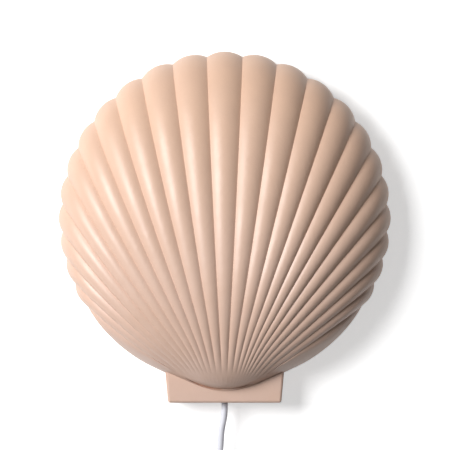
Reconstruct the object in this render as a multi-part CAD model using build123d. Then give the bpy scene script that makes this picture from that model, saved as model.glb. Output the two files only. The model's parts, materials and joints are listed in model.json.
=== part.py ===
from build123d import *
import math
import os

# Scallop wall lamp. Millimetres. The wall is the plane y = 0, the lamp faces -Y, +Z is up.
# The origin is the middle of the wall plate's two screw holes, on the wall.

# ---- glazed casting: ribbed dome ----
RIM_RADIUS = 157.0          # rib tips on the round outline
STANDOFF = 7.0              # rim to wall, the gap that lets the light out
SIDE_WALL = 20.0            # upright part of the margin
DOME_RISE = 66.0            # crown above the upright margin
CROWN_DROP = 30.0           # the crown sits this far below the outline's middle
PROFILE_POWER = 2.2         # how full the dome is
RIBS = 23
RIB_STEP = 12.75            # degrees between the middle ribs on the outline
RIB_CLOSING = 0.185         # how much closer they stand towards the sides
GROOVE_SHARE = 0.16         # groove depth as a share of the rib's width
RIM_SOFTENING = 0.25        # the grooves are this much shallower at the outline
TOP_FLATTENING = 0.0        # the outline's top is this share lower than a true circle's
FAN_ROOT_DROP = 16.4        # the ribs aim at a line this far below the outline
FAN_SPREAD = 0.842          # how the middle ribs open out
FAN_FLARE = 0.136           # how much more the side ribs do
FAN_LEAN = -4.3             # sideways lean of the side ribs, left is negative
FAN_SHIFT = 0.0             # the ribs' lower ends stand this far to the side
TIP_LEAN = 0.0              # degrees that the right-hand ribs' tips stand higher
TIP_BEND = 0.0              # degrees that the lower ribs turn down towards their tips
TIP_BEND_SHARE = 0.18       # over this share of their length
LIP_INSET = 2.0             # lower end of the dome, in from the outline
UMBO_INSET = 3.6            # where the ribs' lines stop, in from the outline
UMBO_DROP = 7.5             # the beak reaches this far below the round outline, over the foot
UMBO_HALF_WIDTH = 55.0
UMBO_TOP = 105.0            # the beak starts this far below the middle
UMBO_LENGTH = 50.0
UMBO_FADE_START = 15.0      # the middle grooves have faded out this far from their lower ends
SIDE_FADE_START = 2.0       # and the side grooves this far
FADE_LENGTH = 14.0
LEVELS = 15                 # steps between the growth lines that the dome is drawn through
WALL_AT_RIM = 10.0
WALL_AT_CROWN = 9.0

# ---- glazed casting: foot and lugs ----
FOOT_DROP = 17.6            # the foot reaches this far below the outline
FOOT_DEPTH = 38.0           # front of the foot, from the wall
FOOT_TOP_WIDTH = 112.8
FOOT_TAPER = 3.0            # each side, from the top to the bottom
FOOT_OVERLAP = 16.0         # how far it runs up inside the margin
FOOT_WALL = 6.0
FOOT_EDGE = 2.5
LUG_REACH = 31.0            # from the inside of the wall towards the middle
LUG_WIDTH = 26.0
LUG_DEPTH = 15.0

# ---- steel parts behind the shell ----
SHEET = 2.0
PLATE_WIDTH = 100.0
PLATE_HEIGHT = 30.0
PLATE_HOLE_SPACING = 76.0
PLATE_HOLE_RADIUS = 2.5
STRAP_GAP = 3.4             # wall plate to strap
STRAP_HEIGHT = 28.0
STRAP_LOW = 16.0            # strap's lower edge below the origin
STRAP_END_CLEARANCE = 4.0
HOOK_X = 22.0
HOOK_WIDTH = 12.0
HOOK_TOP = 4.0              # the strap's weight rests here
HOOK_THICKNESS = 3.0
HOOK_RISE = 7.0             # tip above the seat
HOOK_CLEARANCE = 0.3
LIFT_TRAVEL = 10.0
WINDOW_CLEARANCE = 0.5
BRACKET_WIDTH = 26.0
BRACKET_TOP = 8.0
BRACKET_SCREW_X = 7.0
BRACKET_TOE = 16.0          # arm past the holder's axis
SCREW_RADIUS = 2.0
SCREW_HEAD_RADIUS = 3.6
SCREW_HEAD_HEIGHT = 2.4
SCREW_FIT = 0.2
THROUGH = 50.0              # half-length of a bore's cutter, past both faces
SLOT_WIDTH = 0.8
SCREW_LENGTH = 10.0
INSERT_RADIUS = 3.2
INSERT_LENGTH = 9.0
WASHER_RADIUS = 4.5
WASHER_THICKNESS = 0.8
NUT_RADIUS = 4.0
NUT_HEIGHT = 3.2
PAD_RADIUS = 4.2
PAD_ANGLES = (38.0, 142.0, 218.0, 322.0)

# ---- lampholder ----
HOLDER_Y = -44.0
HOLDER_SEAT = -92.0         # top of the bracket's arm
HOLDER_RADIUS = 13.6
HOLDER_SHELL = 1.6
CAP_HEIGHT = 26.0
CAP_FLOOR = 2.5
CAP_LEDGE = 14.0            # the terminal core rests this high in the cap
LEDGE_WIDTH = 2.5
SKIRT_HEIGHT = 28.0
CORE_HEIGHT = 14.0
CORE_FIT = 0.2
NIPPLE_RADIUS = 5.0
NIPPLE_BORE = 3.7
NIPPLE_FIT = 0.1
NIPPLE_BELOW = 10.0
NIPPLE_ABOVE = 1.0
NIPPLE_NUT_RADIUS = 8.0
NIPPLE_NUT_HEIGHT = 3.0
GRIP_RADIUS = 7.5
GRIP_HEIGHT = 14.0
GRIP_SCREW_RADIUS = 2.0
SOCKET_BORE = 7.25
SOCKET_WALL = 0.6
SOCKET_HEIGHT = 21.0
SOCKET_FLANGE = 10.4
CONTACT_RADIUS = 3.0
CONTACT_HEIGHT = 2.5
TERMINAL_X = 5.0
TERMINAL_RADIUS = 1.3

# ---- globe bulb with a small screw cap ----
BULB_GAP = 0.1
TIP_RADIUS = 2.2
TIP_HEIGHT = 1.4
BEAD_HEIGHT = 3.5
BEAD_RADIUS = 4.5
THREAD_RADIUS = 6.9
THREAD_DEPTH = 0.45
THREAD_PITCH = 2.82
THREAD_TURNS = 5
BULB_CAP_HEIGHT = 16.5
COLLAR_LOW_RADIUS = 9.0
COLLAR_HIGH_RADIUS = 17.0
GLOBE_RADIUS = 22.5
GLOBE_WALL = 1.0
COLLAR_HEIGHT = 20.8
BOARD_POCKET = 3.0
BOARD_THICKNESS = 1.2
BOARD_FIT = 0.3
BOARD_RIM = 1.4

# ---- mains cord ----
CORD_RADIUS = 3.1
CORD_Y = -22.0
LEAD_RADIUS = 1.0
LEAD_SPLIT = 1.3
BUSH_WALL = 1.5
BUSH_FIT = 0.3
BUSH_FLANGE = 1.8
COIL_X = 12.0
COIL_Z = -296.0
COIL_STEP = 3.4             # the spiral moves in this much each half turn
LAYER_STEP = 6.8
UPPER_COIL_RADIUS = 38.5
UPPER_COIL_HALF_TURNS = 5
UPPER_COIL_Y = -18.8
LOWER_COIL_RADIUS = 41.9
LOWER_COIL_HALF_TURNS = 9
LOWER_COIL_Y = -12.0
TIE_WIDTH = 9.0
TIE_THICKNESS = 1.1
TIE_CLEARANCE = 0.35

# ---- switch in the cord ----
SWITCH_X = 125.0
SWITCH_Y = -14.5
SWITCH_TOP = -290.0
SWITCH_LENGTH = 66.0
SWITCH_WIDTH = 30.0
SWITCH_DEPTH = 24.0
SWITCH_EDGE = 5.0
SWITCH_WALL = 2.0
SWITCH_NECK = 8.0
NECK_RADIUS = 5.6
ROCKER_LENGTH = 22.0
ROCKER_WIDTH = 13.0
ROCKER_THROW = 9.0          # degrees each way
ROCKER_END_GAP = 1.2        # the tipped key's corners stay inside the window
ROCKER_SIDE_GAP = 0.5
ROCKER_PROUD = 2.2
ROCKER_TAPER = 0.6
AXLE_SINK = 4.0             # axle behind the casing's front
AXLE_RADIUS = 1.5
AXLE_FIT = 0.06
EAR_THICKNESS = 2.0
EAR_HEIGHT = 6.0
EAR_BEHIND_AXLE = 3.5
SWITCH_SCREW_Z = 20.0       # from the casing's middle
SWITCH_SCREW_RADIUS = 1.5
SWITCH_SCREW_HEAD = 3.0
SWITCH_HEAD_HEIGHT = 1.8
SWITCH_HEAD_SINK = 3.0      # head's seat, in from the casing's back
SWITCH_SCREW_BITE = 6.0     # thread's length in the cover
BOSS_WALL = 2.1
CONTACT_X = 7.0
CONTACT_WIDTH = 6.0
CONTACT_LENGTH = 16.0
CONTACT_BORE = 1.4

# ---- two-pin plug ----
PLUG_Y = -7.4
PLUG_TOP = -336.0
RELIEF_LENGTH = 24.0
RELIEF_TIP_RADIUS = 4.0
RELIEF_ROOT_RADIUS = 5.6
RELIEF_RINGS = 5
RING_GAP = 1.4
RING_CORE_RADIUS = 3.4
PLUG_LENGTH = 27.0
PLUG_WIDTH = 34.0
PLUG_SHOULDER_WIDTH = 24.5
PLUG_SHOULDER = 14.9        # length of the sloping shoulders
PLUG_THICKNESS = 13.7
PLUG_EDGE = 3.6
PIN_SPACING = 18.6
PIN_RADIUS = 2.0
PIN_LENGTH = 19.0
PIN_SLEEVE = 10.0
SLEEVE_THICKNESS = 0.4
PIN_ROOT = 6.0

FAN_ROOT = -(RIM_RADIUS + FAN_ROOT_DROP)
RIM_BACK = -STANDOFF
MARGIN_TOP = -(STANDOFF + SIDE_WALL)
LAST_GROOVE = RIBS / 2
LIP_LEVEL = 1 - LIP_INSET / (RIM_RADIUS - CROWN_DROP)
LOWER_END = MARGIN_TOP - DOME_RISE * math.sqrt(1 - LIP_LEVEL ** PROFILE_POWER)
UMBO_LEVEL = 1 - UMBO_INSET / (RIM_RADIUS - CROWN_DROP)
INNER_RADIUS = RIM_RADIUS - WALL_AT_RIM
INNER_RISE = DOME_RISE - WALL_AT_CROWN
FOOT_BOTTOM = -(RIM_RADIUS + FOOT_DROP)
STRAP_BACK = -(SHEET + STRAP_GAP)
STRAP_FRONT = STRAP_BACK - SHEET
STRAP_END = INNER_RADIUS - STRAP_END_CLEARANCE
LUG_X = INNER_RADIUS - LUG_REACH / 2
HOLDER_FLOOR = HOLDER_SEAT + CAP_FLOOR
SOCKET_SEAT = HOLDER_SEAT + CAP_LEDGE + CORE_HEIGHT
BULB_FOOT = SOCKET_SEAT + CONTACT_HEIGHT + BULB_GAP
BULB_CAP_FOOT = BULB_FOOT + TIP_HEIGHT + BEAD_HEIGHT
COLLAR_FOOT = BULB_CAP_FOOT + BULB_CAP_HEIGHT
COLLAR_TOP = COLLAR_FOOT + COLLAR_HEIGHT


def box(x0, x1, y0, y1, z0, z1):
    """A box between two corners."""
    size = Box(abs(x1 - x0), abs(y1 - y0), abs(z1 - z0))
    return Pos((x0 + x1) / 2, (y0 + y1) / 2, (z0 + z1) / 2) * size


def upright(x, y, z0, z1, radius):
    """A round bar along Z."""
    return Pos(x, y, (z0 + z1) / 2) * Cylinder(radius, abs(z1 - z0))


def across(x, z, y0, y1, radius):
    """A round bar along Y."""
    return Pos(x, (y0 + y1) / 2, z) * Rot(X=90) * Cylinder(radius, abs(y1 - y0))


def sideways(y, z, x0, x1, radius):
    """A round bar along X."""
    return Pos((x0 + x1) / 2, y, z) * Rot(Y=90) * Cylinder(radius, abs(x1 - x0))


def hexagon_bar(x, y, z0, z1, radius):
    """A six-sided bar along Z."""
    prism = extrude(RegularPolygon(radius, 6), abs(z1 - z0))
    return Pos(x, y, min(z0, z1)) * prism


# ---- the dome's surface ----

def contour_level(x, z):
    """1 on the outline, 0 at the crown: the dome's contours are circles that drop towards the crown."""
    spread = RIM_RADIUS ** 2 - CROWN_DROP ** 2
    half = CROWN_DROP * (z + CROWN_DROP)
    reach = math.sqrt(half * half + spread * (x * x + (z + CROWN_DROP) ** 2))
    return min(1.0, (reach - half) / spread)


def bulge(level):
    """Height of the dome above its upright margin."""
    return math.sqrt(max(0.0, 1 - level ** PROFILE_POWER))


def dome_y(x, z):
    return MARGIN_TOP - DOME_RISE * bulge(contour_level(x, z))


def dome_normal(x, z, step=0.05):
    slope_x = (dome_y(x + step, z) - dome_y(x - step, z)) / (2 * step)
    slope_z = (dome_y(x, z + step) - dome_y(x, z - step)) / (2 * step)
    return Vector(slope_x, -1, slope_z).normalized()


def smooth_step(value):
    value = max(0.0, min(1.0, value))
    return value * value * (3 - 2 * value)


def rib_path(rib, growth):
    """Front-view place on a rib's line, from the line that the ribs aim at (0) to the outline (1)."""
    angle = math.radians(RIB_STEP * abs(rib) - RIB_CLOSING * rib * rib)
    sideness = math.sin(angle) ** 2
    lowness = 1 - math.cos(angle)
    if rib > 0:
        angle -= math.radians(TIP_LEAN) * sideness * lowness
    straight = 1 - smooth_step((growth - 1 + TIP_BEND_SHARE) / TIP_BEND_SHARE)
    angle -= math.radians(TIP_BEND) * lowness / 2 * straight
    tip_x = math.copysign(RIM_RADIUS * math.sin(angle), rib)
    tip_z = RIM_RADIUS * math.cos(angle)
    lean = FAN_LEAN * 4 * growth * (1 - growth) * sideness + FAN_SHIFT * (1 - growth)
    x = tip_x * growth ** (FAN_SPREAD + FAN_FLARE * sideness) + lean
    return x, FAN_ROOT + (tip_z - FAN_ROOT) * growth


def first_growth(rib):
    """Where a rib's line comes in over the lower margin."""
    low = 0.005
    high = 0.5
    for _ in range(40):
        middle = (low + high) / 2
        x, z = rib_path(rib, middle)
        if contour_level(x, z) < UMBO_LEVEL and z > -RIM_RADIUS:
            high = middle
        else:
            low = middle
    return high


GROOVES = [rib - LAST_GROOVE for rib in range(RIBS + 1)]
CRESTS = [rib - LAST_GROOVE + 0.5 for rib in range(RIBS)]
STARTS = {rib: first_growth(rib) for rib in GROOVES + CRESTS}
HALF_RIB_STARTS = {rib: (first_growth(rib - 0.5), first_growth(rib + 0.5)) for rib in GROOVES}


def plan(rib, start, share):
    return rib_path(rib, start + (1 - start) * share)


def beak_drop(x, z):
    """How far the beak pulls the surface down over the foot."""
    if abs(x) > UMBO_HALF_WIDTH:
        return 0.0
    return UMBO_DROP * (1 - (x / UMBO_HALF_WIDTH) ** 2) ** 2 * smooth_step((-UMBO_TOP - z) / UMBO_LENGTH)


def settled(point):
    """The point with the beak's drop and the outline's flatter top."""
    if point.Z > 0:
        return point - Vector(0, 0, TOP_FLATTENING * point.Z ** 3 / RIM_RADIUS ** 2)
    return point - Vector(0, 0, beak_drop(point.X, point.Z))


def rib_point(rib, share, is_groove):
    """A point on a crest or in a groove. share runs from 0 by the foot to 1 on the outline."""
    x, z = plan(rib, STARTS[rib], share)
    if share == 0:
        return settled(Vector(x, LOWER_END, z))
    y = MARGIN_TOP if share == 1 else dome_y(x, z)
    if not is_groove:
        return settled(Vector(x, y, z))
    left = plan(rib - 0.5, HALF_RIB_STARTS[rib][0], share)
    right = plan(rib + 0.5, HALF_RIB_STARTS[rib][1], share)
    width = math.hypot(right[0] - left[0], right[1] - left[1])
    foot_x, foot_z = plan(rib, STARTS[rib], 0)
    side = (rib / LAST_GROOVE) ** 2
    fade_start = UMBO_FADE_START + (SIDE_FADE_START - UMBO_FADE_START) * side
    fade = smooth_step((math.hypot(x - foot_x, z - foot_z) - fade_start) / FADE_LENGTH)
    depth = GROOVE_SHARE * width * fade * (1 - RIM_SOFTENING * share ** 3)
    outward = Vector(x, 0, z).normalized() if share == 1 else dome_normal(x, z)
    return settled(Vector(x, y, z) - outward * depth)


def circle_through(a, b, c):
    """Centre of the circle through three front-view points."""
    ax, az = a
    bx, bz = b
    cx, cz = c
    twice = 2 * (ax * (bz - cz) + bx * (cz - az) + cx * (az - bz))
    a2, b2, c2 = ax * ax + az * az, bx * bx + bz * bz, cx * cx + cz * cz
    x = (a2 * (bz - cz) + b2 * (cz - az) + c2 * (az - bz)) / twice
    z = (a2 * (cx - bx) + b2 * (ax - cx) + c2 * (bx - ax)) / twice
    return x, z


def margin_points(right, left, share, count=16):
    """The smooth lower margin, from the right-hand last groove round behind the foot to the left one."""
    bottom = -RIM_RADIUS + (1 - share) * LIP_INSET
    centre_x, centre_z = circle_through((right.X, right.Z), (0, bottom), (left.X, left.Z))
    radius = math.hypot(right.X - centre_x, right.Z - centre_z)
    start = math.atan2(right.Z - centre_z, right.X - centre_x)
    end = math.atan2(left.Z - centre_z, left.X - centre_x)
    if end > start:
        end -= 2 * math.pi
    points = [right]
    for index in range(1, count):
        angle = start + (end - start) * index / count
        x = centre_x + radius * math.cos(angle)
        z = centre_z + radius * math.sin(angle)
        if share == 1:
            y = MARGIN_TOP
        elif share == 0:
            y = LOWER_END
        else:
            y = dome_y(x, z)
        points.append(settled(Vector(x, y, z)))
    points.append(left)
    return points


def growth_line(share):
    """One closed line round the shell: an arc over each rib, and the smooth margin below."""
    grooves = [rib_point(rib, share, True) for rib in GROOVES]
    crests = [rib_point(rib, share, False) for rib in CRESTS]
    edges = [ThreePointArc(grooves[i], crests[i], grooves[i + 1]) for i in range(RIBS)]
    margin = margin_points(grooves[-1], grooves[0], share)
    for i in range(0, len(margin) - 1, 2):
        edges.append(ThreePointArc(margin[i], margin[i + 1], margin[i + 2]))
    return Wire(edges)


def dome_outside():
    shares = [(1 + math.cos(math.pi * i / LEVELS)) / 2 for i in range(LEVELS + 1)]
    lines = [growth_line(share) for share in shares]
    cover = Solid.make_loft(lines)
    side = Solid.extrude(Face(lines[0]), Vector(0, SIDE_WALL, 0))
    return cover.fuse(side)


def dome_inside(levels=9):
    """The smooth hollow, cut right through the back."""
    circles = []
    for index in range(levels):
        level = math.sqrt(1 - (index / levels) ** 2)
        y = MARGIN_TOP - INNER_RISE * bulge(level)
        centre = Plane(origin=(0, y, -CROWN_DROP * (1 - level)), x_dir=(1, 0, 0), z_dir=(0, -1, 0))
        circles.append(Wire(Edge.make_circle(INNER_RADIUS * level, centre)))
    cover = Solid.make_loft(circles)
    return cover.fuse(across(0, 0, MARGIN_TOP, STANDOFF, INNER_RADIUS))


def foot_block():
    top = -RIM_RADIUS + FOOT_OVERLAP
    half_top = FOOT_TOP_WIDTH / 2
    half_bottom = half_top - FOOT_TAPER
    outline = Polyline((-half_top, top), (half_top, top), (half_bottom, FOOT_BOTTOM),
                       (-half_bottom, FOOT_BOTTOM), close=True)
    face = Plane(origin=(0, RIM_BACK, 0), x_dir=(1, 0, 0), z_dir=(0, -1, 0)) * make_face(outline)
    solid = extrude(face, FOOT_DEPTH - STANDOFF)
    front = solid.edges().filter_by_position(Axis.Y, -FOOT_DEPTH - 0.1, -FOOT_DEPTH + 0.1)
    low = solid.edges().filter_by(Axis.Y).sort_by(Axis.Z)[:2]
    return fillet(front + low, FOOT_EDGE)


def foot_hollow():
    half = FOOT_TOP_WIDTH / 2 - FOOT_TAPER - FOOT_WALL
    top = -RIM_RADIUS + FOOT_OVERLAP + 1
    return box(-half, half, -(FOOT_DEPTH - FOOT_WALL), STANDOFF, FOOT_BOTTOM + FOOT_WALL, top)


def lug(side):
    wall = INNER_RADIUS + WALL_AT_RIM / 3
    inner = INNER_RADIUS - LUG_REACH
    solid = box(side * inner, side * wall, STRAP_FRONT, STRAP_FRONT - LUG_DEPTH,
                -LUG_WIDTH / 2, LUG_WIDTH / 2)
    return solid - across(side * LUG_X, 0, STRAP_FRONT, STRAP_FRONT - INSERT_LENGTH - 1, INSERT_RADIUS)


def make_shell_body():
    solid = dome_outside() + foot_block()
    solid -= dome_inside()
    solid -= foot_hollow()
    solid += lug(-1)
    solid += lug(1)
    hole = CORD_RADIUS + BUSH_FIT + BUSH_WALL
    solid -= upright(0, CORD_Y, FOOT_BOTTOM - 1, FOOT_BOTTOM + FOOT_WALL + 1, hole)
    return solid


# ---- steel and small parts ----

def both_sides(make):
    return Compound([make(-1), make(1)])


def make_wall_plate():
    plate = box(-PLATE_WIDTH / 2, PLATE_WIDTH / 2, -SHEET, 0, -PLATE_HEIGHT / 2, PLATE_HEIGHT / 2)
    plate = fillet(plate.edges().filter_by(Axis.Y), 4)
    tip_back = STRAP_FRONT - HOOK_CLEARANCE
    for side in (-1, 1):
        x0 = side * HOOK_X - HOOK_WIDTH / 2
        x1 = side * HOOK_X + HOOK_WIDTH / 2
        plate += box(x0, x1, -SHEET, tip_back, HOOK_TOP - HOOK_THICKNESS, HOOK_TOP)
        plate += box(x0, x1, tip_back, tip_back - SHEET, HOOK_TOP - HOOK_THICKNESS, HOOK_TOP + HOOK_RISE)
        plate -= across(side * PLATE_HOLE_SPACING / 2, 0, 1, -SHEET - 1, PLATE_HOLE_RADIUS)
    return plate


def make_cross_strap():
    top = STRAP_HEIGHT - STRAP_LOW
    strap = box(-STRAP_END, STRAP_END, STRAP_BACK, STRAP_FRONT, -STRAP_LOW, top)
    strap = fillet(strap.edges().filter_by(Axis.Y), 5)
    window_low = HOOK_TOP - HOOK_THICKNESS - LIFT_TRAVEL - WINDOW_CLEARANCE
    half = HOOK_WIDTH / 2 + WINDOW_CLEARANCE
    for side in (-1, 1):
        strap -= box(side * HOOK_X - half, side * HOOK_X + half, STRAP_BACK + 1, STRAP_FRONT - 1,
                     window_low, HOOK_TOP)
        for x in (LUG_X, BRACKET_SCREW_X):
            strap -= across(side * x, 0, STRAP_BACK + 1, STRAP_FRONT - 1, SCREW_RADIUS + SCREW_FIT)
    return strap


def screw(x, z, head_face, length):
    """A pan-head screw driven in from the back, along -Y."""
    head = across(x, z, head_face, head_face + SCREW_HEAD_HEIGHT, SCREW_HEAD_RADIUS)
    head = fillet(head.edges().group_by(Axis.Y)[-1], SCREW_HEAD_HEIGHT * 0.4)
    slot = box(x - SCREW_HEAD_RADIUS, x + SCREW_HEAD_RADIUS, head_face + SCREW_HEAD_HEIGHT / 2,
               head_face + SCREW_HEAD_HEIGHT + 1, z - SLOT_WIDTH / 2, z + SLOT_WIDTH / 2)
    return head - slot + across(x, z, head_face, head_face - length, SCREW_RADIUS)


def make_lug_inserts():
    def insert(side):
        sleeve = across(side * LUG_X, 0, STRAP_FRONT, STRAP_FRONT - INSERT_LENGTH, INSERT_RADIUS)
        return sleeve - across(side * LUG_X, 0, THROUGH, -THROUGH, SCREW_RADIUS)
    return both_sides(insert)


def make_strap_washers():
    def washer(side):
        ring = across(side * LUG_X, 0, STRAP_BACK, STRAP_BACK + WASHER_THICKNESS, WASHER_RADIUS)
        return ring - across(side * LUG_X, 0, THROUGH, -THROUGH, SCREW_RADIUS + SCREW_FIT)
    return both_sides(washer)


def make_strap_screws():
    return both_sides(lambda side: screw(side * LUG_X, 0, STRAP_BACK + WASHER_THICKNESS, SCREW_LENGTH))


def make_bracket_screws():
    return both_sides(lambda side: screw(side * BRACKET_SCREW_X, 0, STRAP_BACK, SCREW_LENGTH))


def make_bracket_nuts():
    face = STRAP_FRONT - SHEET

    def nut(side):
        prism = extrude(RegularPolygon(NUT_RADIUS, 6), NUT_HEIGHT)
        placed = Pos(side * BRACKET_SCREW_X, face, 0) * Rot(X=90) * prism
        return placed - across(side * BRACKET_SCREW_X, 0, THROUGH, -THROUGH, SCREW_RADIUS)
    return both_sides(nut)


def make_holder_bracket():
    half = BRACKET_WIDTH / 2
    back = STRAP_FRONT
    leg = box(-half, half, back, back - SHEET, HOLDER_SEAT, BRACKET_TOP)
    arm = box(-half, half, back, HOLDER_Y - BRACKET_TOE, HOLDER_SEAT - SHEET, HOLDER_SEAT)
    bracket = leg + arm
    corner = bracket.edges().filter_by(Axis.X).sort_by_distance((0, back, HOLDER_SEAT - SHEET))[0]
    bracket = fillet(corner, SHEET * 0.9)
    for side in (-1, 1):
        bracket -= across(side * BRACKET_SCREW_X, 0, THROUGH, -THROUGH, SCREW_RADIUS + SCREW_FIT)
    return bracket - upright(0, HOLDER_Y, HOLDER_SEAT - SHEET - 1, HOLDER_SEAT + 1, NIPPLE_RADIUS + NIPPLE_FIT)


def make_rim_pads():
    middle = (RIM_RADIUS * 0.99 + INNER_RADIUS) / 2
    pads = []
    for angle in PAD_ANGLES:
        x = middle * math.sin(math.radians(angle))
        z = middle * math.cos(math.radians(angle))
        pads.append(across(x, z, RIM_BACK, 0, PAD_RADIUS))
    return Compound(pads)


# ---- lampholder ----

def make_holder_nipple():
    low = HOLDER_SEAT - SHEET - NIPPLE_BELOW
    high = HOLDER_FLOOR + NIPPLE_ABOVE
    tube = upright(0, HOLDER_Y, low, high, NIPPLE_RADIUS)
    return tube - upright(0, HOLDER_Y, low - 1, high + 1, NIPPLE_BORE)


def make_nipple_nut():
    top = HOLDER_SEAT - SHEET
    nut = hexagon_bar(0, HOLDER_Y, top - NIPPLE_NUT_HEIGHT, top, NIPPLE_NUT_RADIUS)
    return nut - upright(0, HOLDER_Y, top - 10, top + 1, NIPPLE_RADIUS)


def make_cord_grip():
    top = HOLDER_SEAT - SHEET - NIPPLE_NUT_HEIGHT
    low = top - GRIP_HEIGHT
    body = upright(0, HOLDER_Y, low, top, GRIP_RADIUS)
    body = chamfer(body.edges().group_by(Axis.Z)[0], 1)
    body -= upright(0, HOLDER_Y, HOLDER_SEAT - SHEET - NIPPLE_BELOW, top + 1, NIPPLE_RADIUS)
    body -= upright(0, HOLDER_Y, low - 1, top + 1, CORD_RADIUS + BUSH_FIT)
    return body - across(0, grip_screw_z(), HOLDER_Y, HOLDER_Y - 20, GRIP_SCREW_RADIUS)


def grip_screw_z():
    return HOLDER_SEAT - SHEET - NIPPLE_NUT_HEIGHT - GRIP_HEIGHT + GRIP_SCREW_RADIUS + 1.2


def make_grip_screw():
    z = grip_screw_z()
    start = HOLDER_Y - CORD_RADIUS
    body = across(0, z, start, HOLDER_Y - GRIP_RADIUS, GRIP_SCREW_RADIUS)
    return body + across(0, z, HOLDER_Y - GRIP_RADIUS, HOLDER_Y - GRIP_RADIUS - 2, SCREW_HEAD_RADIUS)


def make_holder_cap():
    top = HOLDER_SEAT + CAP_HEIGHT
    inner = HOLDER_RADIUS - HOLDER_SHELL
    cap = upright(0, HOLDER_Y, HOLDER_SEAT, top, HOLDER_RADIUS)
    cap = fillet(cap.edges().group_by(Axis.Z)[0], 3)
    cap -= upright(0, HOLDER_Y, HOLDER_SEAT + CAP_LEDGE, top + 1, inner)
    cap -= upright(0, HOLDER_Y, HOLDER_FLOOR, top, inner - LEDGE_WIDTH)
    return cap - upright(0, HOLDER_Y, HOLDER_SEAT - 1, top, NIPPLE_RADIUS)


def make_holder_skirt():
    low = HOLDER_SEAT + CAP_HEIGHT
    skirt = upright(0, HOLDER_Y, low, low + SKIRT_HEIGHT, HOLDER_RADIUS)
    skirt = fillet(skirt.edges().group_by(Axis.Z)[-1], 1)
    return skirt - upright(0, HOLDER_Y, low - 1, low + SKIRT_HEIGHT + 1, HOLDER_RADIUS - HOLDER_SHELL)


def make_terminal_core():
    low = HOLDER_SEAT + CAP_LEDGE
    core = upright(0, HOLDER_Y, low, SOCKET_SEAT, HOLDER_RADIUS - HOLDER_SHELL - CORE_FIT)
    for side in (-1, 1):
        core -= upright(side * TERMINAL_X, HOLDER_Y, low - 1, SOCKET_SEAT - 3, TERMINAL_RADIUS)
        core -= across(side * TERMINAL_X, low + 4, HOLDER_Y, HOLDER_Y - 20, TERMINAL_RADIUS)
    return core


def make_terminal_screws():
    z = HOLDER_SEAT + CAP_LEDGE + 4
    start = HOLDER_Y - LEAD_RADIUS
    return both_sides(lambda side: across(side * TERMINAL_X, z, start, start - 8, TERMINAL_RADIUS))


def make_screw_socket():
    outer = SOCKET_BORE + SOCKET_WALL
    tube = upright(0, HOLDER_Y, SOCKET_SEAT, SOCKET_SEAT + SOCKET_HEIGHT, outer)
    tube += upright(0, HOLDER_Y, SOCKET_SEAT, SOCKET_SEAT + SOCKET_WALL, SOCKET_FLANGE)
    return tube - upright(0, HOLDER_Y, SOCKET_SEAT - 1, SOCKET_SEAT + SOCKET_HEIGHT + 1, SOCKET_BORE)


def make_centre_contact():
    base = upright(0, HOLDER_Y, SOCKET_SEAT, SOCKET_SEAT + SOCKET_WALL, CONTACT_RADIUS * 1.6)
    return base + upright(0, HOLDER_Y, SOCKET_SEAT, SOCKET_SEAT + CONTACT_HEIGHT, CONTACT_RADIUS)


# ---- bulb ----

def turned(points):
    """A solid turned about the bulb's axis, from radius and height pairs."""
    outline = make_face(Polyline(*[(radius, height) for radius, height in points], close=True))
    profile = Plane(origin=(0, HOLDER_Y, 0), x_dir=(1, 0, 0), z_dir=(0, -1, 0)) * outline
    return revolve(profile, Axis((0, HOLDER_Y, 0), (0, 0, 1)))


def make_bulb_tip():
    tip = upright(0, HOLDER_Y, BULB_FOOT, BULB_FOOT + TIP_HEIGHT, TIP_RADIUS)
    return fillet(tip.edges().group_by(Axis.Z)[0], TIP_HEIGHT * 0.5)


def make_bulb_bead():
    low = BULB_FOOT + TIP_HEIGHT
    high = BULB_CAP_FOOT
    return turned([(0, low), (BEAD_RADIUS, low), (THREAD_RADIUS - 0.5, high), (0, high)])


def make_bulb_screw_cap():
    low = BULB_CAP_FOOT
    points = [(0, low), (THREAD_RADIUS - THREAD_DEPTH, low)]
    for turn in range(THREAD_TURNS):
        start = low + 1 + turn * THREAD_PITCH
        points.append((THREAD_RADIUS - THREAD_DEPTH, start))
        points.append((THREAD_RADIUS, start + THREAD_PITCH * 0.35))
        points.append((THREAD_RADIUS, start + THREAD_PITCH * 0.55))
    points.append((THREAD_RADIUS - THREAD_DEPTH, low + 1 + THREAD_TURNS * THREAD_PITCH))
    points.append((THREAD_RADIUS - THREAD_DEPTH, COLLAR_FOOT))
    points.append((0, COLLAR_FOOT))
    return turned(points)


def make_bulb_collar():
    pocket = COLLAR_HIGH_RADIUS - BOARD_RIM
    bend = COLLAR_FOOT + COLLAR_HEIGHT * 0.55
    middle = COLLAR_LOW_RADIUS + (COLLAR_HIGH_RADIUS - COLLAR_LOW_RADIUS) * 0.4
    return turned([(0, COLLAR_FOOT), (COLLAR_LOW_RADIUS, COLLAR_FOOT), (middle, bend),
                   (COLLAR_HIGH_RADIUS, COLLAR_TOP), (pocket, COLLAR_TOP),
                   (pocket, COLLAR_TOP - BOARD_POCKET), (0, COLLAR_TOP - BOARD_POCKET)])


def make_bulb_board():
    low = COLLAR_TOP - BOARD_POCKET
    return upright(0, HOLDER_Y, low, low + BOARD_THICKNESS, COLLAR_HIGH_RADIUS - BOARD_RIM - BOARD_FIT)


def make_bulb_globe():
    centre = COLLAR_TOP + math.sqrt(GLOBE_RADIUS ** 2 - COLLAR_HIGH_RADIUS ** 2)
    ball = Pos(0, HOLDER_Y, centre) * Sphere(GLOBE_RADIUS)
    ball -= Pos(0, HOLDER_Y, centre) * Sphere(GLOBE_RADIUS - GLOBE_WALL)
    return ball - box(-40, 40, HOLDER_Y - 40, HOLDER_Y + 40, COLLAR_TOP - 40, COLLAR_TOP)


# ---- cords ----

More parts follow.
